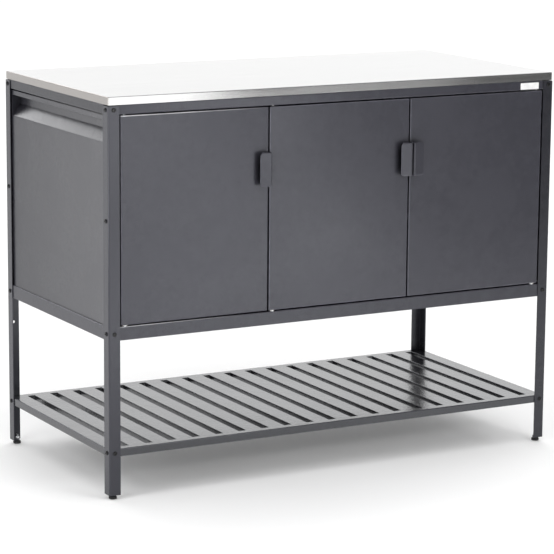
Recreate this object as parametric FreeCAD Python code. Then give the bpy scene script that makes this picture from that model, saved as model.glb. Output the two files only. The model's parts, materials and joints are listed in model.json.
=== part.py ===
# Outdoor kitchen unit: powder-coated sheet-steel cabinet with three doors on
# four angle posts, a folded stainless worktop and a slatted lower shelf.
# Millimetres.  +X right seen from the front, front faces -Y, +Z up.
# All shapes are drawn from the outer corner of the front left post
# (X 0..WIDTH, Y 0..DEPTH, Z 0 on the ground) and moved to the row frame,
# whose origin is the bottom centre of the bounding box, on export.
import FreeCAD, Part
import math, os

V = FreeCAD.Vector

# ---------------------------------------------------------------- dimensions
WIDTH = 1200.0            # over the post faces
DEPTH = 590.0             # over the post faces
HEIGHT = 930.0            # ground to worktop
FOOT_H = 10.0             # ground to the lower end of the posts
POST_TOP = 909.0
POST_LEG = 28.0           # width of each leg of the angle
POST_T = 2.0
RAIL_T = 1.5
PANEL_T = 1.2

TOP_UNDER = 911.0         # underside of the worktop skirt
TOP_T = 1.5
TOP_INSET = 1.5
TOP_HEM = 13.5            # width of the turned-in hem

RAIL_LOW = 889.0          # lower edge of the top rails
LIP_TOP = 885.4           # upper edge of the side panels, a dark gap under the rail
LIP_LOW = 874.0           # lower edge of the side grip lips
LEDGE_OUT = 824.0         # outer edge of the grip ledge
LEDGE_IN = 851.0          # inner edge of the grip ledge
LEDGE_DEPTH = 22.0
PANEL_IN = 5.0            # side panel face behind the post face

FLOOR_TOP = 404.0
FLOOR_LOW = 372.5
SHELF_TOP = 119.0
SHELF_LOW = 101.0
SLOT_N = 19
SLOT_PITCH = 61.1
SLOT_W = 18.5
SLOT_END = 21.5           # post face to the end of a slot
SLOT_FLANGE = 12.0

DOOR_GAP = 3.0
DOOR_Y = 0.5              # front face of the doors behind the post face
DOOR_T = 18.0
DOOR_LOW = 407.0
DOOR_HIGH = 886.5
SKIN_T = 1.2
DOOR_BEND = 2.8
DOOR_W = (WIDTH - 2 * POST_LEG - 4 * DOOR_GAP) / 3.0
PIVOT_A = 12.0            # hinge edge to pivot axis
PIVOT_B = 8.0             # door face to pivot axis
PIN_R = 3.0
PIN_FIT = 0.05            # radial running clearance

HANDLE_LOW = 703.5
HANDLE_HIGH = 782.3
HANDLE_OUT = 22.0         # door face to the front of the pull at its bend
HANDLE_TIP = 17.5         # and at its tip: the tab is bent past square
HANDLE_W = 30.0
HANDLE_T = 1.5
HANDLE_CORNER = 7.0

BOLT_Z_TOP = 900.0
BOLT_Z_MID = 648.0
BOLT_Z_BACK = 672.0       # back panel bolts, clear of the side ones in the same post
BOLT_Z_FLOOR = 388.0
BOLT_Z_SHELF = 109.5
BOLT_IN = 14.0
BOLT_R = 3.0
BOLT_HOLE_R = 3.3
BOLT_HEAD_R = 5.0
BOLT_HEAD_H = 3.0
NUT_AF = 10.0
NUT_T = 5.0
REAR_HOLE_R = 3.5
REAR_HOLE_Z = 306.0

FOOT_IN = 14.0
STEM_R = 3.0
STEM_TOP = 23.0
PAD_R = 9.5
PLATE_LEG = 24.0          # foot plate along each leg of the post
PLATE_CUT = 12.0          # its inner corner is cut off past this

X0 = -WIDTH / 2.0
Y0 = -((DOOR_Y - HANDLE_OUT) + (DEPTH + BOLT_HEAD_H)) / 2.0

# ------------------------------------------------------------------- helpers
os.makedirs("parts", exist_ok=True)


def box(x0, y0, z0, x1, y1, z1):
    return Part.makeBox(x1 - x0, y1 - y0, z1 - z0, V(x0, y0, z0))


def cyl(p, axis, r, h):
    return Part.makeCylinder(r, h, V(*p), V(*axis))


def one(shapes):
    s = shapes[0]
    if len(shapes) > 1:
        s = s.multiFuse(shapes[1:])
    return s.removeSplitter()


def mirror_x(s):
    return s.mirror(V(WIDTH / 2.0, 0, 0), V(1, 0, 0))


def mirror_y(s):
    return s.mirror(V(0, DEPTH / 2.0, 0), V(0, 1, 0))


def folded(pts, t, radii, plane, lo, hi):
    """Sheet folded along a centre line, extruded square to its plane.

    pts are 2-D points of the centre line, radii one number or one per bend.
    plane "xy" extrudes along Z, "yz" along X and "xz" along Y."""
    n = len(pts)
    if not isinstance(radii, (list, tuple)):
        radii = [radii] * (n - 2)
    P = [V(a, b, 0) for a, b in pts]
    d = [(P[i + 1] - P[i]).normalize() for i in range(n - 1)]

    def side(s):
        def nrm(v):
            return V(-v.y * s, v.x * s, 0) * (t / 2.0)
        segs = []
        cur = P[0] + nrm(d[0])
        for i in range(1, n - 1):
            a, b, r = d[i - 1], d[i], radii[i - 1]
            cross = a.x * b.y - a.y * b.x
            ang = math.atan2(cross, a.dot(b))
            tl = r * math.tan(abs(ang) / 2.0)
            t0 = P[i] - a * tl
            t1 = P[i] + b * tl
            turn = 1.0 if cross > 0 else -1.0
            c = t0 + V(-a.y, a.x, 0) * (turn * r)
            e0 = t0 + nrm(a)
            e1 = t1 + nrm(b)
            rr = (e0 - c).Length
            mid = ((e0 - c) + (e1 - c)).normalize() * rr + c
            segs.append(("l", cur, e0))
            segs.append(("a", e0, mid, e1))
            cur = e1
        segs.append(("l", cur, P[-1] + nrm(d[-1])))
        return segs

    left, right = side(1.0), side(-1.0)
    edges = []

    def place(v):
        if plane == "xy":
            return V(v.x, v.y, lo)
        if plane == "yz":
            return V(lo, v.x, v.y)
        return V(v.x, lo, v.y)

    def add(segs):
        for s in segs:
            q = [place(v) for v in s[1:]]
            if s[0] == "l":
                if (q[1] - q[0]).Length > 1e-6:
                    edges.append(Part.LineSegment(q[0], q[1]).toShape())
            else:
                edges.append(Part.Arc(q[0], q[1], q[2]).toShape())

    add(left)
    edges.append(Part.LineSegment(place(left[-1][-1]), place(right[-1][-1])).toShape())
    back = []
    for s in reversed(right):
        back.append((s[0],) + tuple(reversed(s[1:])))
    add(back)
    edges.append(Part.LineSegment(place(right[0][1]), place(left[0][1])).toShape())
    face = Part.Face(Part.Wire(Part.__sortEdges__(edges)))
    ext = {"xy": V(0, 0, hi - lo), "yz": V(hi - lo, 0, 0), "xz": V(0, hi - lo, 0)}[plane]
    return face.extrude(ext)


def edges_where(s, test):
    out = []
    for e in s.Edges:
        c = e.BoundBox
        if test(c):
            out.append(e)
    return out


def tray(x0, y0, z0, x1, y1, z1, t, r, rv):
    """Folded tray, open below: rounded top and corner edges, even wall."""
    def block(x0, y0, z0, x1, y1, z1, r, rv):
        b = box(x0, y0, z0, x1, y1, z1)
        b = b.makeFillet(rv, edges_where(b, lambda c: c.XLength < 1e-6 and c.YLength < 1e-6))
        return b.makeFillet(r, edges_where(b, lambda c: c.ZMin > z1 - 1e-6))
    outer = block(x0, y0, z0, x1, y1, z1, r, rv)
    inner = block(x0 + t, y0 + t, z0 - 5, x1 - t, y1 - t, z1 - t, max(r - t, 0.3), max(rv - t, 0.4))
    return outer.cut(inner)


def hexagon(p, axis, af, h, bore):
    """Hexagonal nut along +-X, +-Y or +Z with two points up."""
    r = af / math.sqrt(3.0)
    pts = []
    for i in range(7):
        a = math.radians(60 * i + 90)
        pts.append((r * math.cos(a), r * math.sin(a)))
    a = V(*axis)
    if abs(a.z) > 0.5:
        u, w = V(1, 0, 0), V(0, 1, 0)
    else:
        u, w = V(-a.y, a.x, 0), V(0, 0, 1)
    o = V(*p)
    f = Part.Face(Part.makePolygon([o + u * q[0] + w * q[1] for q in pts]))
    s = f.extrude(a * h)
    s = s.cut(Part.makeCylinder(bore, h + 2, o - a, a))
    cone = Part.makeCone(r + 0.2 + 0.0, r * 0.90, 0.9, o + a * (h - 0.9), a)
    base = Part.makeCylinder(r + 1.0, h - 0.9, o, a)
    return s.common(base.fuse(cone))


def bolt(p, out, length):
    """Button-head socket bolt: p on the seating face, out the way it faces."""
    a = V(*out)
    o = V(*p)
    head = Part.makeCylinder(BOLT_HEAD_R, BOLT_HEAD_H, o, a)
    top = [e for e in head.Edges if e.Length > 1 and (e.BoundBox.Center - (o + a * BOLT_HEAD_H)).Length < 0.01]
    head = head.makeFillet(BOLT_HEAD_H * 0.72, top)
    shank = Part.makeCylinder(BOLT_R, length + 0.5, o + a * 0.5, a * -1.0)
    s = head.fuse(shank).removeSplitter()
    r = 4.0 / math.sqrt(3.0)
    if abs(a.x) > 0.5:
        u, w = V(0, 1, 0), V(0, 0, 1)
    else:
        u, w = V(1, 0, 0), V(0, 0, 1)
    q = o + a * (BOLT_HEAD_H - 1.7)
    f = Part.Face(Part.makePolygon([q + u * (r * math.cos(math.radians(60 * i))) + w * (r * math.sin(math.radians(60 * i))) for i in range(7)]))
    return s.cut(f.extrude(a * 3.0))


def save(name, shape):
    solids = shape.Solids if hasattr(shape, "Solids") else shape
    if len(solids) == 1:
        s = solids[0].copy()
    else:
        s = Part.Compound([x.copy() for x in solids])
    s.translate(V(X0, Y0, 0))
    assert s.isValid(), name
    s.exportStep("parts/%s.step" % name)
    b = s.BoundBox
    print("%-26s solids %2d vol %9.0f  x %7.1f %7.1f  y %7.1f %7.1f  z %6.1f %6.1f" % (
        name, len(solids), s.Volume, b.XMin, b.XMax, b.YMin, b.YMax, b.ZMin, b.ZMax))


def group(shapes):
    return Part.Compound([x for s in shapes for x in s.Solids])


# --------------------------------------------------------------------- posts
def post(back):
    h = POST_T / 2.0
    s = folded([(POST_LEG, h), (h, h), (h, POST_LEG)], POST_T, 2.5, "xy", FOOT_H, POST_TOP)
    zs_front = [BOLT_Z_TOP, BOLT_Z_FLOOR, BOLT_Z_SHELF] + ([BOLT_Z_BACK] if back else [])
    for z in zs_front:
        s = s.cut(cyl((BOLT_IN, -2, z), (0, 1, 0), BOLT_HOLE_R, 8))
    for z in (BOLT_Z_TOP, BOLT_Z_MID, BOLT_Z_FLOOR, BOLT_Z_SHELF):
        s = s.cut(cyl((-2, BOLT_IN, z), (1, 0, 0), BOLT_HOLE_R, 8))
    if back:
        s = s.cut(cyl((BOLT_IN, -2, REAR_HOLE_Z), (0, 1, 0), REAR_HOLE_R, 8))
    return s


pf, pb = post(False), post(True)
save("post_front_left", pf)
save("post_front_right", mirror_x(pf))
save("post_back_left", mirror_y(pb))
save("post_back_right", mirror_x(mirror_y(pb)))

# ----------------------------------------------------------------- top rails
RI = POST_T + RAIL_T / 2.0
ZU = TOP_UNDER - RAIL_T / 2.0
ZL = RAIL_LOW + RAIL_T / 2.0
END = POST_LEG + 2.0


def cross_rail(top_leg, low_leg):
    s = folded([(top_leg, ZU), (RI, ZU), (RI, ZL), (low_leg, ZL)], RAIL_T, 2.0, "yz", END, WIDTH - END)
    strip = box(POST_T + 2.0, POST_T, RAIL_LOW + 1.5, END + 1, POST_T + RAIL_T, TOP_UNDER - 2.5)
    strip = strip.cut(cyl((BOLT_IN, 0, BOLT_Z_TOP), (0, 1, 0), BOLT_HOLE_R, 9))
    return one([s, strip, mirror_x(strip)])


PIVOT_Y = DOOR_Y + PIVOT_B
DX = [POST_LEG + DOOR_GAP + i * (DOOR_W + DOOR_GAP) for i in range(3)]
PIVOT_X = [DX[0] + PIVOT_A, DX[1] + PIVOT_A, DX[2] + DOOR_W - PIVOT_A]

front_rail = cross_rail(27.0, 40.0)
for x in PIVOT_X:
    front_rail = front_rail.cut(cyl((x, PIVOT_Y, RAIL_LOW - 3), (0, 0, 1), PIN_R + 0.1, 8))
save("top_rail_front", front_rail)
save("top_rail_back", mirror_y(cross_rail(27.0, 24.0)))

side_rail = folded([(27.0, ZU), (RI, ZU), (RI, ZL), (16.0, ZL)], RAIL_T, [2.0, 0.9], "xz", END, DEPTH - END)
strip = box(POST_T, POST_T + RAIL_T + 0.3, RAIL_LOW + 2.2, POST_T + RAIL_T, END + 1, TOP_UNDER - 2.5)
strip = strip.cut(cyl((0, BOLT_IN, BOLT_Z_TOP), (1, 0, 0), BOLT_HOLE_R, 9))
side_rail = one([side_rail, strip, mirror_y(strip)])
save("top_rail_left", side_rail)
save("top_rail_right", mirror_x(side_rail))

# ------------------------------------------------------------------- worktop
top = tray(TOP_INSET, TOP_INSET, TOP_UNDER, WIDTH - TOP_INSET, DEPTH - TOP_INSET, HEIGHT, TOP_T, 2.2, 2.6)
hem = box(TOP_INSET + 0.4, TOP_INSET + 0.4, TOP_UNDER, WIDTH - TOP_INSET - 0.4, DEPTH - TOP_INSET - 0.4, TOP_UNDER + 1.2)
hem = hem.makeFillet(2.2, edges_where(hem, lambda c: c.XLength < 1e-6 and c.YLength < 1e-6))
hem = hem.cut(box(TOP_INSET + TOP_HEM, TOP_INSET + TOP_HEM, TOP_UNDER - 1,
                  WIDTH - TOP_INSET - TOP_HEM, DEPTH - TOP_INSET - TOP_HEM, TOP_UNDER + 3))
save("worktop", one([top, hem]))

hats = []
for y in (195.0, 395.0):
    zt = HEIGHT - TOP_T - 0.6
    zb = HEIGHT - TOP_T - 15.4
    hats.append(folded([(y - 42, zt), (y - 22, zt), (y - 16, zb), (y + 16, zb), (y + 22, zt), (y + 42, zt)],
                       1.2, 2.0, "yz", 60.0, WIDTH - 60.0))
save("worktop_stiffeners", group(hats))

# --------------------------------------------------------------- side panels
pt = PANEL_T / 2.0
xp = PANEL_IN + pt
y_a, y_b = 6.0, 31.0
Z_SPLIT = 760.0
# flat sheet that passes behind the post legs with an open gap, on pressed bosses at the bolts
low = box(PANEL_IN, y_a, FLOOR_TOP + 0.3, PANEL_IN + PANEL_T, DEPTH - y_a, Z_SPLIT)
wing = box(PANEL_IN, y_a, Z_SPLIT, PANEL_IN + PANEL_T, y_b + 1.6, LIP_TOP)
pocket = folded([(xp, Z_SPLIT), (xp, LEDGE_OUT), (xp + LEDGE_DEPTH, LEDGE_IN), (xp + LEDGE_DEPTH, 886.0)],
                PANEL_T, [2.2, 2.2], "xz", y_b, DEPTH - y_b)
lip = folded([(xp, LIP_TOP), (xp, LIP_LOW + pt), (14.0, LIP_LOW + pt)], PANEL_T, 1.6, "xz", y_b, DEPTH - y_b)
cap_pts = [(PANEL_IN + 0.3, LEDGE_OUT - 0.6), (xp + LEDGE_DEPTH - 0.2, LEDGE_IN + 0.2), (xp + LEDGE_DEPTH - 0.2, 886.0),
           (13.0, 886.0), (13.0, LIP_LOW + 3.0), (PANEL_IN + 0.3, LIP_LOW + 3.0)]
cap = Part.Face(Part.makePolygon([V(a, y_b, b) for a, b in cap_pts + cap_pts[:1]])).extrude(V(0, PANEL_T, 0))
boss = Part.makeCone(7.0, 9.0, PANEL_IN - POST_T, V(POST_T + 0.02, BOLT_IN, BOLT_Z_MID), V(1, 0, 0))
panel = one([low, wing, mirror_y(wing), pocket, lip, cap, mirror_y(cap), boss, mirror_y(boss)])
for z in (BOLT_Z_MID,):
    h = cyl((0, BOLT_IN, z), (1, 0, 0), BOLT_HOLE_R, 9)
    panel = panel.cut(h).cut(mirror_y(h))
save("side_panel_left", panel)
save("side_panel_right", mirror_x(panel))

# ---------------------------------------------------------------- back panel
yb = DEPTH - POST_T
back = box(5.0, yb - PANEL_T, FLOOR_TOP + 0.3, WIDTH - 5.0, yb, RAIL_LOW - 0.5)
for x in (BOLT_IN, WIDTH - BOLT_IN):
    back = back.cut(cyl((x, yb - 5, BOLT_Z_BACK), (0, 1, 0), BOLT_HOLE_R, 9))
save("back_panel", back)

# ------------------------------------------------------------- cabinet floor
floor = tray(POST_T, POST_T, FLOOR_LOW, WIDTH - POST_T, DEPTH - POST_T, FLOOR_TOP, RAIL_T, 2.2, 3.0)


def corner_holes(s, z):
    for x in (BOLT_IN, WIDTH - BOLT_IN):
        s = s.cut(cyl((x, 0, z), (0, 1, 0), BOLT_HOLE_R, 9)).cut(cyl((x, DEPTH, z), (0, -1, 0), BOLT_HOLE_R, 9))
    for y in (BOLT_IN, DEPTH - BOLT_IN):
        s = s.cut(cyl((0, y, z), (1, 0, 0), BOLT_HOLE_R, 9)).cut(cyl((WIDTH, y, z), (-1, 0, 0), BOLT_HOLE_R, 9))
    return s


floor = corner_holes(floor, BOLT_Z_FLOOR)
for x in PIVOT_X:
    floor = floor.cut(cyl((x, PIVOT_Y, FLOOR_TOP - 4), (0, 0, 1), PIN_R + 0.1, 8))
save("cabinet_floor", floor)

# ------------------------------------------------------------------- divider
dv = (DX[0] + DOOR_W + DX[1]) / 2.0
save("divider_panel", folded([(dv - 15.0, 22.6), (dv, 22.6), (dv, yb - PANEL_T - 0.3)], PANEL_T, 1.8, "xy",
                             FLOOR_TOP + 0.3, RAIL_LOW - 0.3))

# --------------------------------------------------------------- lower shelf
shelf = tray(POST_T, POST_T, SHELF_LOW, WIDTH - POST_T, DEPTH - POST_T, SHELF_TOP, RAIL_T, 2.2, 3.0)
cuts, walls = [], []
for i in range(SLOT_N):
    xc = WIDTH / 2.0 + (i - (SLOT_N - 1) / 2.0) * SLOT_PITCH
    a, b = xc - SLOT_W / 2.0, xc + SLOT_W / 2.0
    cuts.append(box(a, SLOT_END, SHELF_TOP - 6, b, DEPTH - SLOT_END, SHELF_TOP + 5))
    for w0, w1 in ((a - RAIL_T, a), (b, b + RAIL_T)):
        walls.append(box(w0, SLOT_END, SHELF_TOP - RAIL_T - SLOT_FLANGE, w1, DEPTH - SLOT_END, SHELF_TOP - 0.5))
shelf = shelf.cut(Part.Compound(cuts))
shelf = one([shelf] + walls)
rim = edges_where(shelf, lambda c: c.ZMin > SHELF_TOP - 1e-4 and c.ZMax < SHELF_TOP + 1e-4 and c.YLength > 500
                  and c.XLength < 1e-6 and c.XMin > 30 and c.XMax < WIDTH - 30)
shelf = shelf.makeFillet(1.0, rim)
shelf = corner_holes(shelf, BOLT_Z_SHELF)
save("lower_shelf", shelf)

# ---------------------------------------------------------------- pivot pins
lower, upper, washers = [], [], []
for x in PIVOT_X:
    p = cyl((x, PIVOT_Y, FLOOR_TOP - RAIL_T - 2.5), (0, 0, 1), 3.7, 2.5)
    q = cyl((x, PIVOT_Y, FLOOR_TOP - RAIL_T - 1.0), (0, 0, 1), PIN_R, 14.5)
    q = q.makeChamfer(0.8, [e for e in q.Edges if abs(e.BoundBox.ZMin - (FLOOR_TOP + 12.0)) < 1e-3 and e.BoundBox.ZLength < 1e-6])
    lower.append(one([p, q]))
    p = cyl((x, PIVOT_Y, RAIL_LOW + RAIL_T), (0, 0, 1), 3.7, 2.5)
    q = cyl((x, PIVOT_Y, RAIL_LOW + RAIL_T + 1.0), (0, 0, -1), PIN_R, 14.5)
    upper.append(one([p, q]))
    washers.append(cyl((x, PIVOT_Y, FLOOR_TOP), (0, 0, 1), 5.6, 1.2).cut(cyl((x, PIVOT_Y, FLOOR_TOP - 1), (0, 0, 1), PIN_R + 0.1, 4)))
save("lower_pivot_pins", group(lower))
save("upper_pivot_pins", group(upper))
save("pivot_washers", group(washers))

# --------------------------------------------------------------------- doors
NAMES = ("left", "middle", "right")
catch_x, catches, magnets, screws = [], [], [], []
for i, nm in enumerate(NAMES):
    x0, x1 = DX[i], DX[i] + DOOR_W
    px = PIVOT_X[i]
    free_right = i < 2
    # outer skin: front with four turned-in edges, open behind
    outer = box(x0, DOOR_Y, DOOR_LOW, x1, DOOR_Y + DOOR_T, DOOR_HIGH)
    outer = outer.makeFillet(1.2, edges_where(outer, lambda c: c.XLength < 1e-6 and c.ZLength < 1e-6))
    outer = outer.makeFillet(DOOR_BEND, edges_where(outer, lambda c: c.YMax < DOOR_Y + 1e-6))
    inner = box(x0 + SKIN_T, DOOR_Y + SKIN_T, DOOR_LOW + SKIN_T, x1 - SKIN_T, DOOR_Y + DOOR_T + 5, DOOR_HIGH - SKIN_T)
    inner = inner.makeFillet(DOOR_BEND - SKIN_T, edges_where(inner, lambda c: c.YMax < DOOR_Y + SKIN_T + 1e-6))
    skin = outer.cut(inner)
    skin = skin.cut(cyl((px, PIVOT_Y, DOOR_LOW - 2), (0, 0, 1), 5.05, 6))
    skin = skin.cut(cyl((px, PIVOT_Y, DOOR_HIGH + 2), (0, 0, -1), 5.05, 6))
    hx = x1 - 10.0 if free_right else x0 + 10.0
    rz = (HANDLE_LOW + 21.0, HANDLE_HIGH - 21.0)
    for z in rz:
        skin = skin.cut(cyl((hx, DOOR_Y - 2, z), (0, 1, 0), 2.1, 6))
    save("door_%s_skin" % nm, skin)
    # inner liner: flat sheet with a short turned edge, let into the skin
    g = SKIN_T + 0.15
    liner = box(x0 + g, DOOR_Y + DOOR_T - 4.0, DOOR_LOW + g, x1 - g, DOOR_Y + DOOR_T, DOOR_HIGH - g)
    liner = liner.cut(box(x0 + g + 1, DOOR_Y + DOOR_T - 6.0, DOOR_LOW + g + 1, x1 - g - 1, DOOR_Y + DOOR_T - 1.0, DOOR_HIGH - g - 1))
    save("door_%s_liner" % nm, liner)
    # pull: base on the door face, web at the free edge, finger tab turned back
    s = -1.0 if free_right else 1.0
    e = x1 if free_right else x0
    hw = HANDLE_T / 2.0
    pull = folded([(e + s * 17.0, DOOR_Y - hw), (e + s * hw, DOOR_Y - hw),
                   (e + s * hw, DOOR_Y - HANDLE_OUT + hw), (e + s * HANDLE_W, DOOR_Y - HANDLE_TIP + hw)],
                  HANDLE_T, [1.6, 3.2], "xy", HANDLE_LOW, HANDLE_HIGH)
    tip = e + s * HANDLE_W
    pull = pull.makeFillet(HANDLE_CORNER, edges_where(pull, lambda c: c.XLength < 0.5 and c.ZLength < 1e-6
                                                      and abs(c.Center.x - tip) < 0.5))
    for z in rz:
        pull = pull.cut(cyl((hx, DOOR_Y - 4, z), (0, 1, 0), 2.1, 6))
    save("door_%s_handle" % nm, pull)
    rv = []
    for z in rz:
        hd = cyl((hx, DOOR_Y - HANDLE_T, z), (0, -1, 0), 3.6, 1.5)
        hd = hd.makeFillet(1.1, [k for k in hd.Edges if k.BoundBox.YMax < DOOR_Y - HANDLE_T - 1.4])
        sh = cyl((hx, DOOR_Y - HANDLE_T - 0.5, z), (0, 1, 0), 2.0, HANDLE_T + SKIN_T + 0.5)
        tail = cyl((hx, DOOR_Y + SKIN_T, z), (0, 1, 0), 3.2, 2.2)
        rv.append(one([hd, sh, tail]))
    save("door_%s_handle_rivets" % nm, group(rv))
    # pivot bushes, flanged, one in each turned-in edge
    bs = []
    for zf, up in ((DOOR_LOW, 1.0), (DOOR_HIGH, -1.0)):
        b = one([cyl((px, PIVOT_Y, zf - up * 0.5), (0, 0, up), 5.0, 12.5), cyl((px, PIVOT_Y, zf), (0, 0, -up), 6.5, 1.2)])
        bs.append(b.cut(cyl((px, PIVOT_Y, zf - up * 5), (0, 0, up), PIN_R + PIN_FIT, 25)))
    save("door_%s_bushes" % nm, group(bs))
    # strike plate on the liner, in front of the magnetic catch
    cx = e + s * 41.0
    sy = DOOR_Y + DOOR_T
    st = box(cx - 18, sy, 868.0, cx + 18, sy + 1.2, 883.0)
    st = st.makeFillet(2.0, edges_where(st, lambda c: c.XLength < 1e-6 and c.ZLength < 1e-6))
    save("door_%s_strike" % nm, st)
    # catch under the front rail
    y_c = sy + 1.2 + 0.6
    body = box(cx - 22, y_c + 0.4, 870.0, cx + 22, 39.0, RAIL_LOW)
    body = body.makeFillet(1.5, edges_where(body, lambda c: c.XLength < 1e-6 and c.YLength < 1e-6))
    body = body.cut(box(cx - 15, y_c - 3, 872.0, cx + 15, 31.0, 882.0))
    catches.append(body)
    magnets.append(box(cx - 14.8, y_c, 872.2, cx + 14.8, 30.8, 881.8))
save("catch_housings", group(catches))
save("catch_magnets", group(magnets))

# --------------------------------------------------------- fasteners, feet
bolts, nuts = [], []


def fix(p, out, grip):
    a = V(*out)
    bolts.append(bolt(p, out, grip + NUT_T + 1.5))
    q = V(*p) - a * grip
    nuts.append(hexagon((q.x, q.y, q.z), (-out[0], -out[1], -out[2]), NUT_AF, NUT_T, BOLT_R + 0.05))


for x in (BOLT_IN, WIDTH - BOLT_IN):
    for z in (BOLT_Z_TOP, BOLT_Z_FLOOR, BOLT_Z_SHELF):
        fix((x, 0, z), (0, -1, 0), POST_T + RAIL_T)
        fix((x, DEPTH, z), (0, 1, 0), POST_T + RAIL_T)
    fix((x, DEPTH, BOLT_Z_BACK), (0, 1, 0), POST_T + PANEL_T)
for y in (BOLT_IN, DEPTH - BOLT_IN):
    for z in (BOLT_Z_TOP, BOLT_Z_FLOOR, BOLT_Z_SHELF):
        fix((0, y, z), (-1, 0, 0), POST_T + RAIL_T)
        fix((WIDTH, y, z), (1, 0, 0), POST_T + RAIL_T)
    fix((0, y, BOLT_Z_MID), (-1, 0, 0), PANEL_IN + PANEL_T)
    fix((WIDTH, y, BOLT_Z_MID), (1, 0, 0), PANEL_IN + PANEL_T)
save("frame_bolts", group(bolts))
save("frame_nuts", group(nuts))

pc = 2.6
plate_pts = [(POST_T + 0.1 + pc, POST_T + 0.1), (PLATE_LEG, POST_T + 0.1), (PLATE_LEG, PLATE_CUT), (PLATE_CUT, PLATE_LEG),
             (POST_T + 0.1, PLATE_LEG), (POST_T + 0.1, POST_T + 0.1 + pc)]
plate = Part.Face(Part.makePolygon([V(a, b, FOOT_H) for a, b in plate_pts + plate_pts[:1]])).extrude(V(0, 0, 3.0))
plate = plate.cut(cyl((FOOT_IN, FOOT_IN, 5), (0, 0, 1), STEM_R + 0.08, 20))
fnut = hexagon((FOOT_IN, FOOT_IN, FOOT_H + 3.0), (0, 0, 1), 10.0, 5.0, STEM_R + 0.08)
stem = cyl((FOOT_IN, FOOT_IN, 4.0), (0, 0, 1), STEM_R, STEM_TOP - 4.0)
stem = stem.makeChamfer(0.6, [k for k in stem.Edges if k.BoundBox.ZMin > STEM_TOP - 0.1])
prof = [(0, 0), (PAD_R - 0.8, 0), (PAD_R, 0.8), (PAD_R, 5.2), (PAD_R - 1.2, 6.6), (6.6, 8.0), (6.4, 9.2), (0, 9.2)]
pad = Part.Face(Part.makePolygon([V(FOOT_IN + a, FOOT_IN, b) for a, b in prof + prof[:1]])).revolve(
    V(FOOT_IN, FOOT_IN, 0), V(0, 0, 1), 360)
pad = Part.Solid(pad) if pad.ShapeType == "Shell" else pad
pad = pad.cut(cyl((FOOT_IN, FOOT_IN, 4.0), (0, 0, 1), STEM_R + 0.02, 20))


def corners(s):
    return {"front_left": s, "front_right": mirror_x(s), "back_left": mirror_y(s), "back_right": mirror_x(mirror_y(s))}


save("foot_plates", group(list(corners(plate).values())))
save("foot_nuts", group(list(corners(fnut).values())))
for k, s in corners(stem).items():
    save("foot_stem_%s" % k, s)
for k, s in corners(pad).items():
    save("foot_pad_%s" % k, s)

# ------------------------------------------------------------ blank nameplate
bp = box(1106.0, POST_T - 0.8, 890.8, 1159.0, POST_T, 906.8)
bp = bp.makeFillet(1.2, edges_where(bp, lambda c: c.XLength < 1e-6 and c.ZLength < 1e-6))
save("blank_plate", bp)

print("pivots", [(x + X0, PIVOT_Y + Y0) for x in PIVOT_X], "feet", FOOT_IN + X0, FOOT_IN + Y0, DEPTH - FOOT_IN + Y0)
print("Y0", Y0, "post face y", Y0, "back face y", DEPTH + Y0, "doors", DX, DOOR_W, "divider", dv)
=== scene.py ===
import bpy, bmesh, math, json
from mathutils import Vector, Matrix


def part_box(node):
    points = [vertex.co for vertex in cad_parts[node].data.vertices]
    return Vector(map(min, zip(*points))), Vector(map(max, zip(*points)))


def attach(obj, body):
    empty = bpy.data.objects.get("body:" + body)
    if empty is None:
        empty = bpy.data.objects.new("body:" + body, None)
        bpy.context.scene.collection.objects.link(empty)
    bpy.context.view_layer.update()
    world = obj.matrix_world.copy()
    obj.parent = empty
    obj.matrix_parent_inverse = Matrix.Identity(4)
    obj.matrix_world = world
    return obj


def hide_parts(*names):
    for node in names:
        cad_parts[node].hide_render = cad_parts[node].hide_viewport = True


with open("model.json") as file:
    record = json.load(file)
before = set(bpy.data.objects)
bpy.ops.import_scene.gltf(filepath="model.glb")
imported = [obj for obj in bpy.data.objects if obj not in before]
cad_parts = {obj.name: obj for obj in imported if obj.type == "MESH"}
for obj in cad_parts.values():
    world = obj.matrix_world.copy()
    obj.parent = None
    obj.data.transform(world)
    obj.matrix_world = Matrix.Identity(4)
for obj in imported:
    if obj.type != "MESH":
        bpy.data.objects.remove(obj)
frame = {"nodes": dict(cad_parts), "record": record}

nodes = frame["nodes"]
scene = bpy.context.scene
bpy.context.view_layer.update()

# ------------------------------------------------------------------ camera
CAM_POS = (-2.966035, -5.381955, 1.616194)
CAM_YAW, CAM_PITCH, CAM_ROLL = 0.5022527, 0.1921048, 0.0080730
CAM_F = 2533.1 / 554.0
right = Vector((math.cos(CAM_YAW), -math.sin(CAM_YAW), 0.0))
fwd = Vector((math.sin(CAM_YAW) * math.cos(CAM_PITCH), math.cos(CAM_YAW) * math.cos(CAM_PITCH), -math.sin(CAM_PITCH)))
up = right.cross(fwd)
cr, sr = math.cos(CAM_ROLL), math.sin(CAM_ROLL)
cam_r = right * cr + up * sr
cam_u = -right * sr + up * cr
cam_data = bpy.data.cameras.new("photo_camera")
cam_data.sensor_width = 36.0
cam_data.lens = CAM_F * 36.0
cam_data.clip_start, cam_data.clip_end = 0.1, 200.0
cam = bpy.data.objects.new("photo_camera", cam_data)
cam.matrix_world = Matrix(((cam_r.x, cam_u.x, -fwd.x, CAM_POS[0]),
                           (cam_r.y, cam_u.y, -fwd.y, CAM_POS[1]),
                           (cam_r.z, cam_u.z, -fwd.z, CAM_POS[2]),
                           (0, 0, 0, 1)))
scene.collection.objects.link(cam)
scene.camera = cam
scene.view_settings.view_transform = "Standard"


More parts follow.
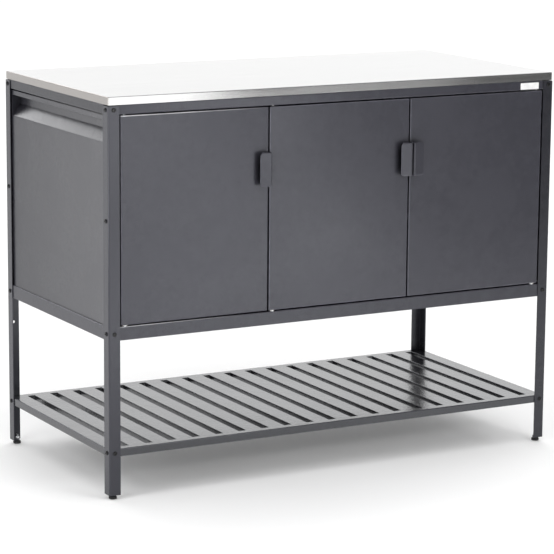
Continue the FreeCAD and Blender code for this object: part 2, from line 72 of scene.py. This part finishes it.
# --------------------------------------------------------------- materials
class Mat:
    """A node material with short helpers; coordinates are the row frame's metres."""

    def __init__(self, name):
        self.m = bpy.data.materials.new(name)
        self.m.use_nodes = True
        self.t = self.m.node_tree
        self.t.nodes.clear()
        self.out = self.t.nodes.new("ShaderNodeOutputMaterial")
        self.b = self.t.nodes.new("ShaderNodeBsdfPrincipled")
        self.t.links.new(self.b.outputs[0], self.out.inputs[0])
        self.co = self.t.nodes.new("ShaderNodeTexCoord").outputs["Object"]

    def node(self, kind, **kw):
        n = self.t.nodes.new(kind)
        for k, v in kw.items():
            setattr(n, k, v)
        return n

    def link(self, a, b):
        self.t.links.new(a, b)

    def mapped(self, scale, src=None):
        n = self.node("ShaderNodeMapping")
        n.inputs["Scale"].default_value = scale
        self.link(src or self.co, n.inputs["Vector"])
        return n.outputs[0]

    def noise(self, scale, detail=2.0, rough=0.5, vec=None):
        n = self.node("ShaderNodeTexNoise")
        n.inputs["Scale"].default_value = scale
        n.inputs["Detail"].default_value = detail
        n.inputs["Roughness"].default_value = rough
        self.link(vec or self.co, n.inputs["Vector"])
        return n.outputs["Fac"]

    def ramp(self, fac, lo, hi, a, b):
        n = self.node("ShaderNodeMapRange")
        n.clamp = True
        for k, v in (("From Min", lo), ("From Max", hi), ("To Min", a), ("To Max", b)):
            n.inputs[k].default_value = v
        self.link(fac, n.inputs["Value"])
        return n.outputs[0]

    def math(self, op, a, b=None):
        n = self.node("ShaderNodeMath", operation=op)
        for i, v in enumerate((a, b)):
            if v is None:
                continue
            if isinstance(v, (int, float)):
                n.inputs[i].default_value = v
            else:
                self.link(v, n.inputs[i])
        return n.outputs[0]

    def mix(self, fac, a, b):
        n = self.node("ShaderNodeMix", data_type="RGBA")
        for i, v in ((0, fac), (6, a), (7, b)):
            if isinstance(v, (int, float)):
                n.inputs[i].default_value = v
            elif isinstance(v, tuple):
                n.inputs[i].default_value = v + (1.0,)
            else:
                self.link(v, n.inputs[i])
        return n.outputs[2]

    def bump(self, height, strength, dist, normal=None):
        n = self.node("ShaderNodeBump")
        n.inputs["Strength"].default_value = strength
        n.inputs["Distance"].default_value = dist
        self.link(height, n.inputs["Height"])
        if normal is not None:
            self.link(normal, n.inputs["Normal"])
        return n.outputs[0]

    def edges(self, radius):
        """1 along convex and concave edges, 0 on flat faces."""
        bv = self.node("ShaderNodeBevel", samples=4)
        bv.inputs["Radius"].default_value = radius
        g = self.node("ShaderNodeNewGeometry")
        d = self.node("ShaderNodeVectorMath", operation="DOT_PRODUCT")
        self.link(bv.outputs[0], d.inputs[0])
        self.link(g.outputs["Normal"], d.inputs[1])
        return self.ramp(d.outputs["Value"], 0.99, 0.86, 0.0, 1.0)

    def folds(self, face=None):
        """1 on the rounded folds between the square faces of bent sheet, 0 on those faces.

        With face = "Y" only the outer half of the fold beside the faces square to Y."""
        tc = self.node("ShaderNodeTexCoord")
        ab = self.node("ShaderNodeVectorMath", operation="ABSOLUTE")
        self.link(tc.outputs["Normal"], ab.inputs[0])
        sep = self.node("ShaderNodeSeparateXYZ")
        self.link(ab.outputs[0], sep.inputs[0])
        if face:
            n = sep.outputs[face]
            return self.math("MULTIPLY", self.ramp(n, 0.985, 0.94, 0.0, 1.0), self.ramp(n, 0.62, 0.80, 0.0, 1.0))
        top = self.math("MAXIMUM", self.math("MAXIMUM", sep.outputs["X"], sep.outputs["Y"]), sep.outputs["Z"])
        return self.ramp(top, 0.97, 0.85, 0.0, 1.0)

    def painted_glint(self):
        """1 on the rounded folds that face up and to the front: the mask of a painted highlight."""
        tc = self.node("ShaderNodeTexCoord")
        sep = self.node("ShaderNodeSeparateXYZ")
        self.link(tc.outputs["Normal"], sep.inputs[0])
        return self.math("MULTIPLY", self.ramp(sep.outputs["Z"], 0.15, 0.40, 0.0, 1.0), self.ramp(sep.outputs["Y"], -0.20, -0.45, 0.0, 1.0))

    def set(self, **kw):
        for k, v in kw.items():
            s = self.b.inputs[k.replace("_", " ")]
            if isinstance(v, tuple):
                s.default_value = v + (1.0,)
            elif isinstance(v, (int, float)):
                s.default_value = v
            else:
                self.link(v, s)
        return self


def powder_coat(name, base, rough, edge=0.30, rub_and_highlight=3.2, ior=1.5, hang=None, painted_shade=None, reach=0.0016, bends=True, sag=None, grain=(620.0, 0.10), painted_glint=None):
    """Satin coat on sheet: orange peel, fine grit, rubbed edges that also carry painted highlights, painted shade in
    corners and a slow waviness of the sheet.

    hang = (centre x, centre z, lean, tip, bow x, bow z) is the small slope and bulge
    of a sheet that does not sit quite true to its neighbours. nook = (depth, lo, hi) paints
    shade into the coat's colour in narrow corners, by ambient occlusion; reach is how far in from an edge the coat is
    lightened, as rubbed coat and painted highlight, and bends also lightens the folds between square faces, a painted
    highlight.
    sag = (centre y, bow) dishes a side sheet; grain is the scale and depth of the orange peel.
    crest = (x0, x1, colour) is a highlight painted on the folds that face up and to the front, strongest at x0 and
    none at x1."""
    m = Mat(name)
    cloud = m.noise(2.3, 3.0)
    peel = m.noise(grain[0], 2.0, 0.45)
    grit = m.noise(2400.0, 1.0, 0.5)
    # edges and folds painted lighter: partly rubbed coat, partly painted highlight
    wear_and_highlight = m.edges(reach)
    if bends:
        wear_and_highlight = m.math("MAXIMUM", wear_and_highlight, m.folds(None if bends is True else bends))
    wear_and_highlight = m.math("MULTIPLY", wear_and_highlight, m.ramp(m.noise(48.0, 4.0, 0.6), 0.36, 0.62, 0.45, 1.0))
    lo = tuple(c * 0.94 for c in base)
    hi = tuple(min(c * 1.07, 1.0) for c in base)
    col = m.mix(m.ramp(cloud, 0.35, 0.65, 0.0, 1.0), lo, hi)
    col = m.mix(m.ramp(grit, 0.30, 0.75, 0.0, 0.35), col, tuple(c * 1.35 for c in base))
    col = m.mix(m.math("MULTIPLY", wear_and_highlight, edge), col, tuple(min(c * rub_and_highlight, 1.0) for c in base))
    # painted shade: the coat's colour falls to a tenth of its tone where ambient occlusion finds a narrow corner
    if painted_shade:
        ao = m.node("ShaderNodeAmbientOcclusion", samples=6)
        ao.inputs["Distance"].default_value = painted_shade[0]
        col = m.mix(m.ramp(ao.outputs["AO"], painted_shade[1], painted_shade[2], 0.0, 1.0), tuple(c * 0.10 for c in base), col)
    # painted highlight: a near-white colour on the upward folds, fading along X
    if painted_glint:
        sep = m.node("ShaderNodeSeparateXYZ")
        m.link(m.co, sep.inputs[0])
        f = m.math("MULTIPLY", m.painted_glint(), m.ramp(sep.outputs["X"], painted_glint[0], painted_glint[1], 1.0, 0.0))
        f = m.math("MULTIPLY", f, m.ramp(m.noise(30.0, 4.0, 0.6), 0.35, 0.60, 0.6, 1.0))
        col = m.mix(f, col, painted_glint[2])
    r = m.ramp(m.noise(9.0, 4.0, 0.6), 0.3, 0.7, rough - 0.025, rough + 0.025)
    r = m.math("ADD", r, m.ramp(grit, 0.3, 0.7, -0.02, 0.02))
    slow = m.math("MULTIPLY", m.noise(1.7, 1.0), 0.0011)
    if hang:
        cx, cz, lean, tip, bow_x, bow_z = hang
        sep = m.node("ShaderNodeSeparateXYZ")
        m.link(m.co, sep.inputs[0])
        for axis, c, lin, bow in (("X", cx, lean, bow_x), ("Z", cz, -tip, bow_z)):
            d = m.math("SUBTRACT", sep.outputs[axis], c)
            k = m.math("SUBTRACT", lin, m.math("MULTIPLY", d, bow))
            slow = m.math("ADD", slow, m.math("MULTIPLY", d, k))
    if sag:
        sep = m.node("ShaderNodeSeparateXYZ")
        m.link(m.co, sep.inputs[0])
        d = m.math("SUBTRACT", sep.outputs["Y"], sag[0])
        slow = m.math("ADD", slow, m.math("MULTIPLY", m.math("MULTIPLY", d, d), sag[1]))
    nrm = m.bump(slow, 1.0, 1.0)
    nrm = m.bump(peel, grain[1], 0.0004, nrm)
    nrm = m.bump(grit, 0.06, 0.0002, nrm)
    m.set(Base_Color=col, Roughness=r, Normal=nrm, Metallic=0.0, IOR=ior, Specular_Tint=(0.93, 0.95, 1.0))
    return m


def brushed(name, base, rough, streak, depth=0.05):
    """Sheet brushed along its length: streaks follow X, and run down the end folds."""
    m = Mat(name)
    g = m.node("ShaderNodeNewGeometry")
    sep = m.node("ShaderNodeSeparateXYZ")
    m.link(g.outputs["Normal"], sep.inputs[0])
    end = m.math("GREATER_THAN", m.math("ABSOLUTE", sep.outputs["X"]), 0.72)
    va = m.mapped((2.2, streak, streak))
    vb = m.mapped((streak, streak, 2.2))
    pick = m.node("ShaderNodeMix", data_type="VECTOR")
    m.link(end, pick.inputs[0])
    m.link(va, pick.inputs[4])
    m.link(vb, pick.inputs[5])
    vec = pick.outputs[1]
    lines = m.noise(1.0, 3.0, 0.65, vec)
    fine = m.noise(3.1, 2.0, 0.6, vec)
    cloud = m.noise(3.0, 3.0)
    f = m.math("ADD", m.math("MULTIPLY", lines, 0.6), m.math("MULTIPLY", fine, 0.4))
    col = m.mix(m.ramp(f, 0.3, 0.7, 0.0, 1.0), tuple(c * 0.90 for c in base), tuple(min(c * 1.05, 1.0) for c in base))
    col = m.mix(m.ramp(cloud, 0.35, 0.7, 0.0, 0.25), col, tuple(c * 0.95 for c in base))
    # the end folds are painted darker and warmer than the top and front, a painted reflection tone
    col = m.mix(end, col, m.mix(f, (base[0] * 0.84, base[1] * 0.80, base[2] * 0.77), (base[0] * 0.90, base[1] * 0.85, base[2] * 0.82)))
    r = m.ramp(f, 0.3, 0.7, rough - 0.05, rough + 0.05)
    nrm = m.bump(f, depth, 0.0003)
    # highlights spread across the brush lines
    cr_ = m.node("ShaderNodeVectorMath", operation="CROSS_PRODUCT")
    m.link(g.outputs["True Normal"], cr_.inputs[0])
    cr_.inputs[1].default_value = (1.0, 0.0, 0.0)
    tan = m.node("ShaderNodeMix", data_type="VECTOR")
    m.link(end, tan.inputs[0])
    m.link(cr_.outputs[0], tan.inputs[4])
    tan.inputs[5].default_value = (0.0, 1.0, 0.0)
    m.link(tan.outputs[1], m.b.inputs["Tangent"])
    m.set(Base_Color=col, Roughness=r, Normal=nrm, Metallic=1.0, Anisotropic=0.75)
    return m


def plated(name, base, rough):
    m = Mat(name)
    cloud = m.noise(120.0, 3.0)
    tint = m.noise(45.0, 2.0)
    col = m.mix(m.ramp(cloud, 0.3, 0.7, 0.0, 1.0), tuple(c * 0.86 for c in base), base)
    col = m.mix(m.ramp(tint, 0.45, 0.7, 0.0, 0.35), col, (base[0] * 0.98, base[1] * 0.95, base[2] * 0.86))
    r = m.ramp(cloud, 0.3, 0.7, rough - 0.06, rough + 0.08)
    nrm = m.bump(m.noise(900.0, 2.0), 0.05, 0.0002)
    m.set(Base_Color=col, Roughness=r, Normal=nrm, Metallic=1.0)
    return m


def moulded(name, base, rough, grain=1500.0, strength=0.12, ior=1.46, upper=None):
    """Moulded or oxide-black piece; upper is the colour of the same pieces above mid height."""
    m = Mat(name)
    g = m.noise(grain, 2.0, 0.6)
    cloud = m.noise(30.0, 3.0)
    dust = m.ramp(m.noise(70.0, 5.0, 0.65), 0.5, 0.75, 0.0, 0.4)
    col = m.mix(m.ramp(cloud, 0.3, 0.7, 0.0, 1.0), tuple(c * 0.85 for c in base), tuple(min(c * 1.2, 1.0) for c in base))
    col = m.mix(dust, col, tuple(min(c * 1.5 + 0.01, 1.0) for c in base))
    if upper:
        sep = m.node("ShaderNodeSeparateXYZ")
        m.link(m.co, sep.inputs[0])
        col = m.mix(m.math("GREATER_THAN", sep.outputs["Z"], 0.65), col, m.mix(cloud, tuple(c * 0.8 for c in upper), upper))
    r = m.ramp(g, 0.3, 0.7, rough - 0.06, rough + 0.06)
    m.set(Base_Color=col, Roughness=r, Normal=m.bump(g, strength, 0.0003), Metallic=0.0, IOR=ior)
    return m


def spangle(name, base):
    m = Mat(name)
    v = m.node("ShaderNodeTexVoronoi")
    v.inputs["Scale"].default_value = 95.0
    m.link(m.co, v.inputs["Vector"])
    sep = m.node("ShaderNodeSeparateColor")
    m.link(v.outputs["Color"], sep.inputs[0])
    col = m.mix(sep.outputs[0], tuple(c * 0.78 for c in base), tuple(min(c * 1.15, 1.0) for c in base))
    m.set(Base_Color=col, Roughness=m.ramp(sep.outputs[1], 0.0, 1.0, 0.30, 0.48), Metallic=1.0,
          Normal=m.bump(m.noise(300.0, 2.0), 0.04, 0.0003))
    return m


COAT = (0.0390, 0.0386, 0.0486)
M = {
    "graphite_coat": powder_coat("graphite_powder_coat", tuple(c * 0.88 for c in COAT), 0.28, 0.6, 4.5, painted_shade=(0.030, 0.25, 0.75)),
    "stainless": brushed("brushed_stainless", (0.436, 0.436, 0.435), 0.19, 620.0),
    "galvanised": spangle("galvanised_sheet", (0.50, 0.51, 0.52)),
    "black_steel": moulded("black_oxide_steel", (0.006, 0.006, 0.007), 0.14, 900.0, 0.03, 1.45),
    "zinc_steel": plated("bright_zinc", (0.72, 0.73, 0.75), 0.24),
    "black_plastic": moulded("black_moulded_plastic", (0.014, 0.014, 0.015), 0.46),
    "nylon": moulded("natural_nylon", (0.74, 0.73, 0.70), 0.40, 700.0, 0.05, 1.53, (0.030, 0.030, 0.032)),
    "magnet": moulded("ferrite", (0.050, 0.050, 0.053), 0.55, 420.0, 0.2),
    "white_plate": moulded("white_enamel", (0.92, 0.92, 0.91), 0.28, 500.0, 0.03),
}
# the doors' edges and the outer halves of their folds are painted lighter than the rest: rubbed coat from handling,
# and painted highlight
DOOR_PAINTED_SHADE = (0.035, 0.30, 0.85)
DOOR_COAT = {
    "door_left_": powder_coat("graphite_coat_left_door", COAT, 0.28, 0.45, 5.0, painted_shade=DOOR_PAINTED_SHADE, bends="Y",
                              # a painted highlight along the left door's top fold, strongest at its left end
                              painted_glint=(-0.45, -0.19, (0.80, 0.80, 0.82))),
    "door_middle_": powder_coat("graphite_coat_middle_door", COAT, 0.28, 0.7, 6.0, painted_shade=DOOR_PAINTED_SHADE, bends="Y",
                                hang=(0.0, 0.647, 0.034, 0.008, 0.085, 0.06)),
    "door_right_": powder_coat("graphite_coat_right_door", COAT, 0.28, 0.5, 5.0, painted_shade=DOOR_PAINTED_SHADE, bends="Y",
                               hang=(0.37, 0.647, -0.006, 0.0, 0.0, 0.0)),
}
# the front rail is bowed a little, the pulls are separate bent sheets, and the shelf is glossier with a coarser peel
RAIL_COAT = powder_coat("graphite_coat_front_rail", COAT, 0.28, 0.4, 3.5, hang=(0.0, 0.90, 0.040, 0.020, 0.085, 0.0))
PULL_COAT = powder_coat("graphite_coat_pulls", COAT, 0.28, 0.9, 5.0, 1.47, hang=(-0.2, 0.74, 0.0, 0.0, 0.03, 0.0), bends=False)
# the shelf's coat is a darker copy at a quarter of the doors' tone, painted shade
SHELF_COAT = powder_coat("graphite_coat_shelf", tuple(c * 0.25 for c in COAT), 0.21, 0.6, 9.0, 1.80, painted_shade=(0.030, 0.35, 0.85),
                         grain=(140.0, 0.90))
# the side panel's coat is a darker copy at 0.7 of the doors' tone, painted shade, and its painted shade in corners
# reaches further, into the far end of the grip recess
PANEL_COAT = powder_coat("graphite_coat_side_panel", tuple(c * 0.70 for c in COAT), 0.28, 0.30, painted_shade=(0.070, 0.20, 0.62), bends=False, sag=(0.2, 0.10))
# the cabinet floor's front fold carries a painted highlight, strongest at its left end
FLOOR_COAT = powder_coat("graphite_coat_cabinet_floor", tuple(c * 0.88 for c in COAT), 0.28, 0.6, 4.5, painted_shade=(0.030, 0.25, 0.75),
                         painted_glint=(-0.50, -0.25, (0.60, 0.60, 0.62)))
# tones fitted to the photograph part by part: they also make up for light that this scene lacks
DARK_COAT = powder_coat("graphite_coat_right_post_side_rails", tuple(c * 0.52 for c in COAT), 0.28, 0.6, 6.0, painted_shade=(0.030, 0.25, 0.75))
POST_COAT = powder_coat("graphite_coat_left_posts", tuple(c * 0.88 for c in COAT), 0.23, 0.3, 3.2, painted_shade=(0.030, 0.25, 0.75), bends=False)
slot_of = {s["node"]: s["material_slot"] for s in frame["record"]["subparts"]}


def finish_of(name):
    if slot_of[name] == "graphite_coat":
        if name == "lower_shelf":
            return SHELF_COAT
        if name == "top_rail_front":
            return RAIL_COAT
        if name == "cabinet_floor":
            return FLOOR_COAT
        if name in ("post_front_left", "post_back_left"):
            return POST_COAT
        if name in ("post_front_right", "top_rail_left", "top_rail_right"):
            return DARK_COAT
        if name.startswith("side_panel_"):
            return PANEL_COAT
        for k, m in DOOR_COAT.items():
            if name.startswith(k):
                return m
    return M[slot_of[name]]


for name, o in nodes.items():
    o.data.materials.clear()
    o.data.materials.append(finish_of(name).m)

# ------------------------------------------------------------ mesh pieces
PIECES = []


def piece(name, bm, body, node, mat, angle=32.0):
    """A finished mesh piece that rides on a body and, where a node is named, stands for it."""
    bmesh.ops.recalc_face_normals(bm, faces=bm.faces)
    me = bpy.data.meshes.new(name)
    bm.to_mesh(me)
    bm.free()
    for p in me.polygons:
        p.use_smooth = True
    me.set_sharp_from_angle(angle=math.radians(angle))
    me.materials.append(mat.m)
    o = bpy.data.objects.new(name, me)
    scene.collection.objects.link(o)
    if node:
        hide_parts(node)
    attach(o, body)
    PIECES.append(o)
    return o


def fold_line(pts, radii, step):
    """Points along a bent centre line, with rounded bends, and the direction of the line at each."""
    out = []
    n = len(pts)
    P = [Vector(p) for p in pts]
    d = [(P[i + 1] - P[i]).normalized() for i in range(n - 1)]
    out.append((P[0], d[0]))
    for i in range(1, n - 1):
        a, b, r = d[i - 1], d[i], radii[i - 1]
        turn = a.x * b.y - a.y * b.x
        ang = math.atan2(turn, a.dot(b))
        tl = r * math.tan(abs(ang) / 2.0)
        s0 = P[i] - a * tl
        c = s0 + Vector((-a.y, a.x)) * (r if ang > 0 else -r)
        k = 9
        for q in range(k + 1):
            t = ang * q / k
            v = s0 - c
            w = Vector((v.x * math.cos(t) - v.y * math.sin(t), v.x * math.sin(t) + v.y * math.cos(t)))
            dd = Vector((a.x * math.cos(t) - a.y * math.sin(t), a.x * math.sin(t) + a.y * math.cos(t)))
            out.append((c + w, dd))
    out.append((P[-1], d[-1]))
    dense = [out[0]]
    for (p, u), (q, v) in zip(out[:-1], out[1:]):
        m = max(1, int((q - p).length / step + 0.5))
        for k in range(1, m + 1):
            t = k / m
            dense.append((p.lerp(q, t), u.lerp(v, t).normalized()))
    return dense


def pull(door):
    """Bent sheet pull: rounded tab corners, cut edges broken, two bends."""
    node = "door_%s_handle" % door
    lo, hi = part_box(node)
    side = -1.0 if door != "right" else 1.0
    e = hi[0] if side < 0 else lo[0]
    t, base, corner, soft = 0.0015, 0.017, 0.007, 0.0005
    y_door, y_tab, y_tip = hi[1], lo[1], lo[1] + 0.0045
    h = t / 2.0
    line = fold_line([(e + side * base, y_door - h), (e + side * h, y_door - h),
                      (e + side * h, y_tab + h), (lo[0] if side < 0 else hi[0], y_tip + h)],
                     [0.0016, 0.0032], 0.0012)
    run = [0.0]
    for (p, _), (q, _) in zip(line[:-1], line[1:]):
        run.append(run[-1] + (q - p).length)
    total = run[-1]

    def inset(dist, r):
        return r - math.sqrt(max(r * r - (r - dist) ** 2, 0.0)) if dist < r else 0.0
    bm = bmesh.new()
    rows = 14
    rings = []
    for (p, u), s_ in zip(line, run):
        cut = max(inset(total - s_, corner), inset(s_, 0.0025))
        z0, z1 = lo[2] + cut, hi[2] - cut
        nrm = Vector((-u.y, u.x))
        ring = []
        for sg in (1.0, -1.0):
            ring.append([bm.verts.new((p.x + nrm.x * h * sg, p.y + nrm.y * h * sg, z0 + (z1 - z0) * k / rows)) for k in range(rows + 1)])
        rings.append(ring)
    for a, b in zip(rings[:-1], rings[1:]):
        for sd in (0, 1):
            for k in range(rows):
                bm.faces.new((a[sd][k], b[sd][k], b[sd][k + 1], a[sd][k + 1]))
        for k in (0, rows):
            bm.faces.new((a[0][k], b[0][k], b[1][k], a[1][k]))
    for ring in (rings[0], rings[-1]):
        for k in range(rows):
            bm.faces.new((ring[0][k], ring[0][k + 1], ring[1][k + 1], ring[1][k]))
    bmesh.ops.recalc_face_normals(bm, faces=bm.faces)
    cut_edges = [ed for ed in bm.edges if len(ed.link_faces) == 2 and ed.calc_face_angle(0.0) > math.radians(60)]
    bmesh.ops.bevel(bm, geom=cut_edges, offset=soft, segments=3, profile=0.5, affect="EDGES", clamp_overlap=True)
    return piece("pull_%s" % door, bm, "door_%s" % door, node, PULL_COAT, 40.0)


def stem(corner):
    """Threaded stem of a levelling foot: M6, pitch 1 mm, chamfered end."""
    node = "foot_stem_%s" % corner
    lo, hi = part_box(node)
    cx, cy = (lo[0] + hi[0]) / 2.0, (lo[1] + hi[1]) / 2.0
    rad, pitch, deep = (hi[0] - lo[0]) / 2.0, 0.001, 0.00055
    seg, per = 40, 8
    n = int(round((hi[2] - lo[2]) / pitch * per))
    bm = bmesh.new()
    rings = []
    for i in range(n + 1):
        z = lo[2] + (hi[2] - lo[2]) * i / n
        end = min(1.0, (hi[2] - z) / 0.0009)
        ring = []
        for k in range(seg):
            a = 2.0 * math.pi * k / seg
            ph = (z / pitch - k / seg) % 1.0
            tooth = min(1.0, max(0.0, abs(ph - 0.5) * 2.6 - 0.15))
            r = rad - deep * (1.0 - tooth)
            r = min(r, rad - deep * 1.2 * (1.0 - end))
            ring.append(bm.verts.new((cx + r * math.cos(a), cy + r * math.sin(a), z)))
        rings.append(ring)
    for a, b in zip(rings[:-1], rings[1:]):
        for k in range(seg):
            m = (k + 1) % seg
            bm.faces.new((a[k], a[m], b[m], b[k]))
    bm.faces.new(list(reversed(rings[0])))
    bm.faces.new(rings[-1])
    return piece("threaded_stem_%s" % corner, bm, "foot_%s" % corner, node, M["zinc_steel"], 50.0)


def pad(corner):
    """Moulded foot: fluted grip rim, raised collar round the stem, flat tread with a shallow recess in the middle
    below.
    """
    node = "foot_pad_%s" % corner
    lo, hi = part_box(node)
    cx, cy = (lo[0] + hi[0]) / 2.0, (lo[1] + hi[1]) / 2.0
    R_, z0 = (hi[0] - lo[0]) / 2.0, lo[2]
    top = hi[2]
    prof = [(0.0, 0.0006), (0.0034, 0.0006), (0.0038, 0.0), (R_ - 0.0012, 0.0), (R_ - 0.0003, 0.0004), (R_, 0.0012), (R_, 0.0047),
            (R_ - 0.0004, 0.0055), (R_ - 0.0012, 0.0061), (R_ - 0.0026, 0.0066), (0.0069, 0.0071), (0.0065, 0.0078),
            (0.0064, top - z0 - 0.0004), (0.0060, top - z0), (0.0033, top - z0), (0.00305, top - z0 - 0.0004), (0.00305, 0.0045)]
    seg = 120
    bm = bmesh.new()
    rings = []
    for r, z in prof:
        if r == 0.0:
            rings.append([bm.verts.new((cx, cy, z0 + z))])
            continue
        ring = []
        for k in range(seg):
            a = 2.0 * math.pi * k / seg
            f = 0.0
            if r > R_ - 0.0005 and 0.001 < z < 0.005:
                f = 0.00035 * max(0.0, math.cos(a * 20.0)) ** 2
            ring.append(bm.verts.new((cx + (r - f) * math.cos(a), cy + (r - f) * math.sin(a), z0 + z)))
        rings.append(ring)
    for a, b in zip(rings[:-1], rings[1:]):
        for k in range(seg):
            m = (k + 1) % seg
            if len(a) == 1:
                bm.faces.new((a[0], b[m], b[k]))
            else:
                bm.faces.new((a[k], a[m], b[m], b[k]))
    bm.faces.new(rings[-1])
    return piece("moulded_foot_%s" % corner, bm, "foot_%s" % corner, node, M["black_plastic"], 38.0)


def bead(name, x0, x1):
    """Black sealing bead in the corner of the cabinet floor and the back panel; it also darkens that corner as
    painted shade.
    """
    yb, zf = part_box("back_panel")[0][1] - 0.00005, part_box("cabinet_floor")[1][2] + 0.0001
    size = 0.0034
    prof = [(yb, zf), (yb - size, zf)]
    for i in range(1, 7):
        a = math.radians(15.0 * i)
        prof.append((yb - size + size * math.sin(a), zf + size * (1.0 - math.cos(a))))
    bm = bmesh.new()
    ends = [[bm.verts.new((x, y, z)) for y, z in prof] for x in (x0, x1)]
    n = len(prof)
    for i in range(n):
        bm.faces.new((ends[0][i], ends[0][(i + 1) % n], ends[1][(i + 1) % n], ends[1][i]))
    bm.faces.new(ends[0])
    bm.faces.new(ends[1])
    return piece(name, bm, "frame", None, M["black_plastic"], 40.0)


for d in ("left", "middle", "right"):
    pull(d)
wall_l, wall_r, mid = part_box("side_panel_left"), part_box("side_panel_right"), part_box("divider_panel")
# the divider's web is its right-hand sheet, 1.2 mm thick
bead("floor_seal_and_shade_left", wall_l[0][0] + 0.0016, mid[1][0] - 0.0016)
bead("floor_seal_and_shade_right", mid[1][0] + 0.0004, wall_r[1][0] - 0.0016)
for c in ("front_left", "front_right", "back_left", "back_right"):
    stem(c)
    pad(c)

# ------------------------------------------------------------------- stage
def stage_mesh(name, verts, faces, mat):
    me = bpy.data.meshes.new(name)
    me.from_pydata(verts, [], faces)
    o = bpy.data.objects.new(name, me)
    scene.collection.objects.link(o)
    me.materials.append(mat)
    return o


FLOOR_TONE = 0.88
fm = Mat("pale_floor")
fm.set(Base_Color=fm.mix(fm.ramp(fm.noise(0.6, 3.0), 0.3, 0.7, 0.0, 1.0), (FLOOR_TONE - 0.01,) * 3, (FLOOR_TONE + 0.01,) * 3),
       Roughness=0.8)
fm.b.inputs["Specular IOR Level"].default_value = 0.1
R = 60.0
floor = stage_mesh("floor", [(-R, -R, -0.0005), (R, -R, -0.0005), (R, R, -0.0005), (-R, R, -0.0005)], [(0, 1, 2, 3)], fm.m)

# dark card at the front right that the right-hand door and the skirt mirror
km = Mat("dark_card")
km.set(Base_Color=km.mix(km.noise(3.0), (0.165, 0.165, 0.166), (0.185, 0.185, 0.186)), Roughness=0.9)
km.b.inputs["Specular IOR Level"].default_value = 0.1
card = stage_mesh("dark_card", [(1.02, -2.85, 0.0), (5.5, -2.2, 0.0), (5.5, -2.2, 2.6), (1.02, -2.85, 2.6)], [(0, 1, 2, 3)], km.m)
card.visible_camera = False

# ------------------------------------------------------------------- light
WORLD_BASE, WORLD_BACK = 0.06, 1.43
world = bpy.data.worlds.new("studio")
scene.world = world
world.use_nodes = True
wt = world.node_tree
bg = wt.nodes["Background"]
# a studio dome: bright back wall, softer ceiling and front wall
WORLD_TOP, WORLD_FRONT = 0.55, 0.42
wdir = wt.nodes.new("ShaderNodeTexCoord").outputs["Generated"]


def lobe(direction, lo, hi, a, b):
    dot = wt.nodes.new("ShaderNodeVectorMath")
    dot.operation = "DOT_PRODUCT"
    dot.inputs[1].default_value = direction
    wt.links.new(wdir, dot.inputs[0])
    rng = wt.nodes.new("ShaderNodeMapRange")
    rng.interpolation_type = "SMOOTHSTEP"
    for k, v in (("From Min", lo), ("From Max", hi), ("To Min", a), ("To Max", b)):
        rng.inputs[k].default_value = v
    wt.links.new(dot.outputs["Value"], rng.inputs["Value"])
    return rng


wmap = lobe((0.45, 0.87, 0.20), 0.45, 0.95, WORLD_BASE, WORLD_BASE + WORLD_BACK)
wsum = wmap.outputs[0]
for extra in (lobe((0.0, 0.0, 1.0), 0.35, 0.90, 0.0, WORLD_TOP), lobe((0.0, -0.95, 0.31), 0.35, 0.95, 0.0, WORLD_FRONT)):
    add = wt.nodes.new("ShaderNodeMath")
    wt.links.new(wsum, add.inputs[0])
    wt.links.new(extra.outputs[0], add.inputs[1])
    wsum = add.outputs[0]
wt.links.new(wsum, bg.inputs["Strength"])
bg.inputs["Color"].default_value = (1.0, 1.0, 1.0, 1.0)


def area(name, pos, target, size, power, color=(1, 1, 1)):
    d = bpy.data.lights.new(name, "AREA")
    d.shape = "RECTANGLE"
    d.size, d.size_y = size
    d.energy = power
    d.color = color
    o = bpy.data.objects.new(name, d)
    o.location = pos
    o.rotation_mode = "QUATERNION"
    o.rotation_quaternion = (Vector(target) - Vector(pos)).to_track_quat("-Z", "Y")
    o.visible_camera = False
    scene.collection.objects.link(o)
    return o


LIGHTS = {
    "key_left_back": area("key_left_back", (-3.00, 5.36, 3.34), (-0.583, 0.0, 0.838), (3.0, 1.6), 69),
    "front_box": area("front_box", (0.43, -2.8, 1.20), (0.43, 0.0, 1.20), (1.06, 1.8), 11.9),
    "front_mid": area("front_mid", (1.52, -2.64, 0.48), (1.25, 0.0, 0.60), (0.6, 0.40), 0.6),
    "front_low": area("front_low", (1.12, -2.75, 0.13), (0.9, 0.0, 0.60), (0.5, 0.24), 1.6),
    "front_left": area("front_left", (-2.6, -1.6, 0.55), (0.0, -0.28, 0.60), (0.9, 1.0), 8),
    "top_box": area("top_box", (0.7, -0.8, 3.3), (0.5, -0.3, 0.0), (2.2, 0.4), 5),
    "left_fill": area("left_fill", (-1.6, -0.45, 0.80), (-0.6, -0.15, 0.60), (0.5, 0.9), 5.6),
    "floor_front": area("floor_front", (0.55, -2.15, 1.0), (0.55, -2.15, 0.0), (0.8, 0.6), 22),
    "floor_back": area("floor_back", (1.5, 6.8, 4.0), (1.5, 6.8, 0.0), (16.0, 10.0), 205),
}
wash = bpy.data.lights.new("floor_wash", "SUN")
wash.angle = math.radians(110.0)
wash.energy = 1.15
wash.use_shadow = False
LIGHTS["floor_wash"] = bpy.data.objects.new("floor_wash", wash)
LIGHTS["floor_wash"].location = (0.0, 0.0, 6.0)
scene.collection.objects.link(LIGHTS["floor_wash"])
# the key is set on the object alone, so that the pale floor does not glare
obj_only = bpy.data.collections.new("lit_by_key")
for o in list(nodes.values()) + PIECES:
    obj_only.objects.link(o)
LIGHTS["key_left_back"].light_linking.receiver_collection = obj_only
# and the wash on the floor alone, as a background is lit
floor_only = bpy.data.collections.new("lit_by_wash")
floor_only.objects.link(floor)
LIGHTS["floor_wash"].light_linking.receiver_collection = floor_only
LIGHTS["floor_front"].light_linking.receiver_collection = floor_only
LIGHTS["floor_back"].light_linking.receiver_collection = floor_only
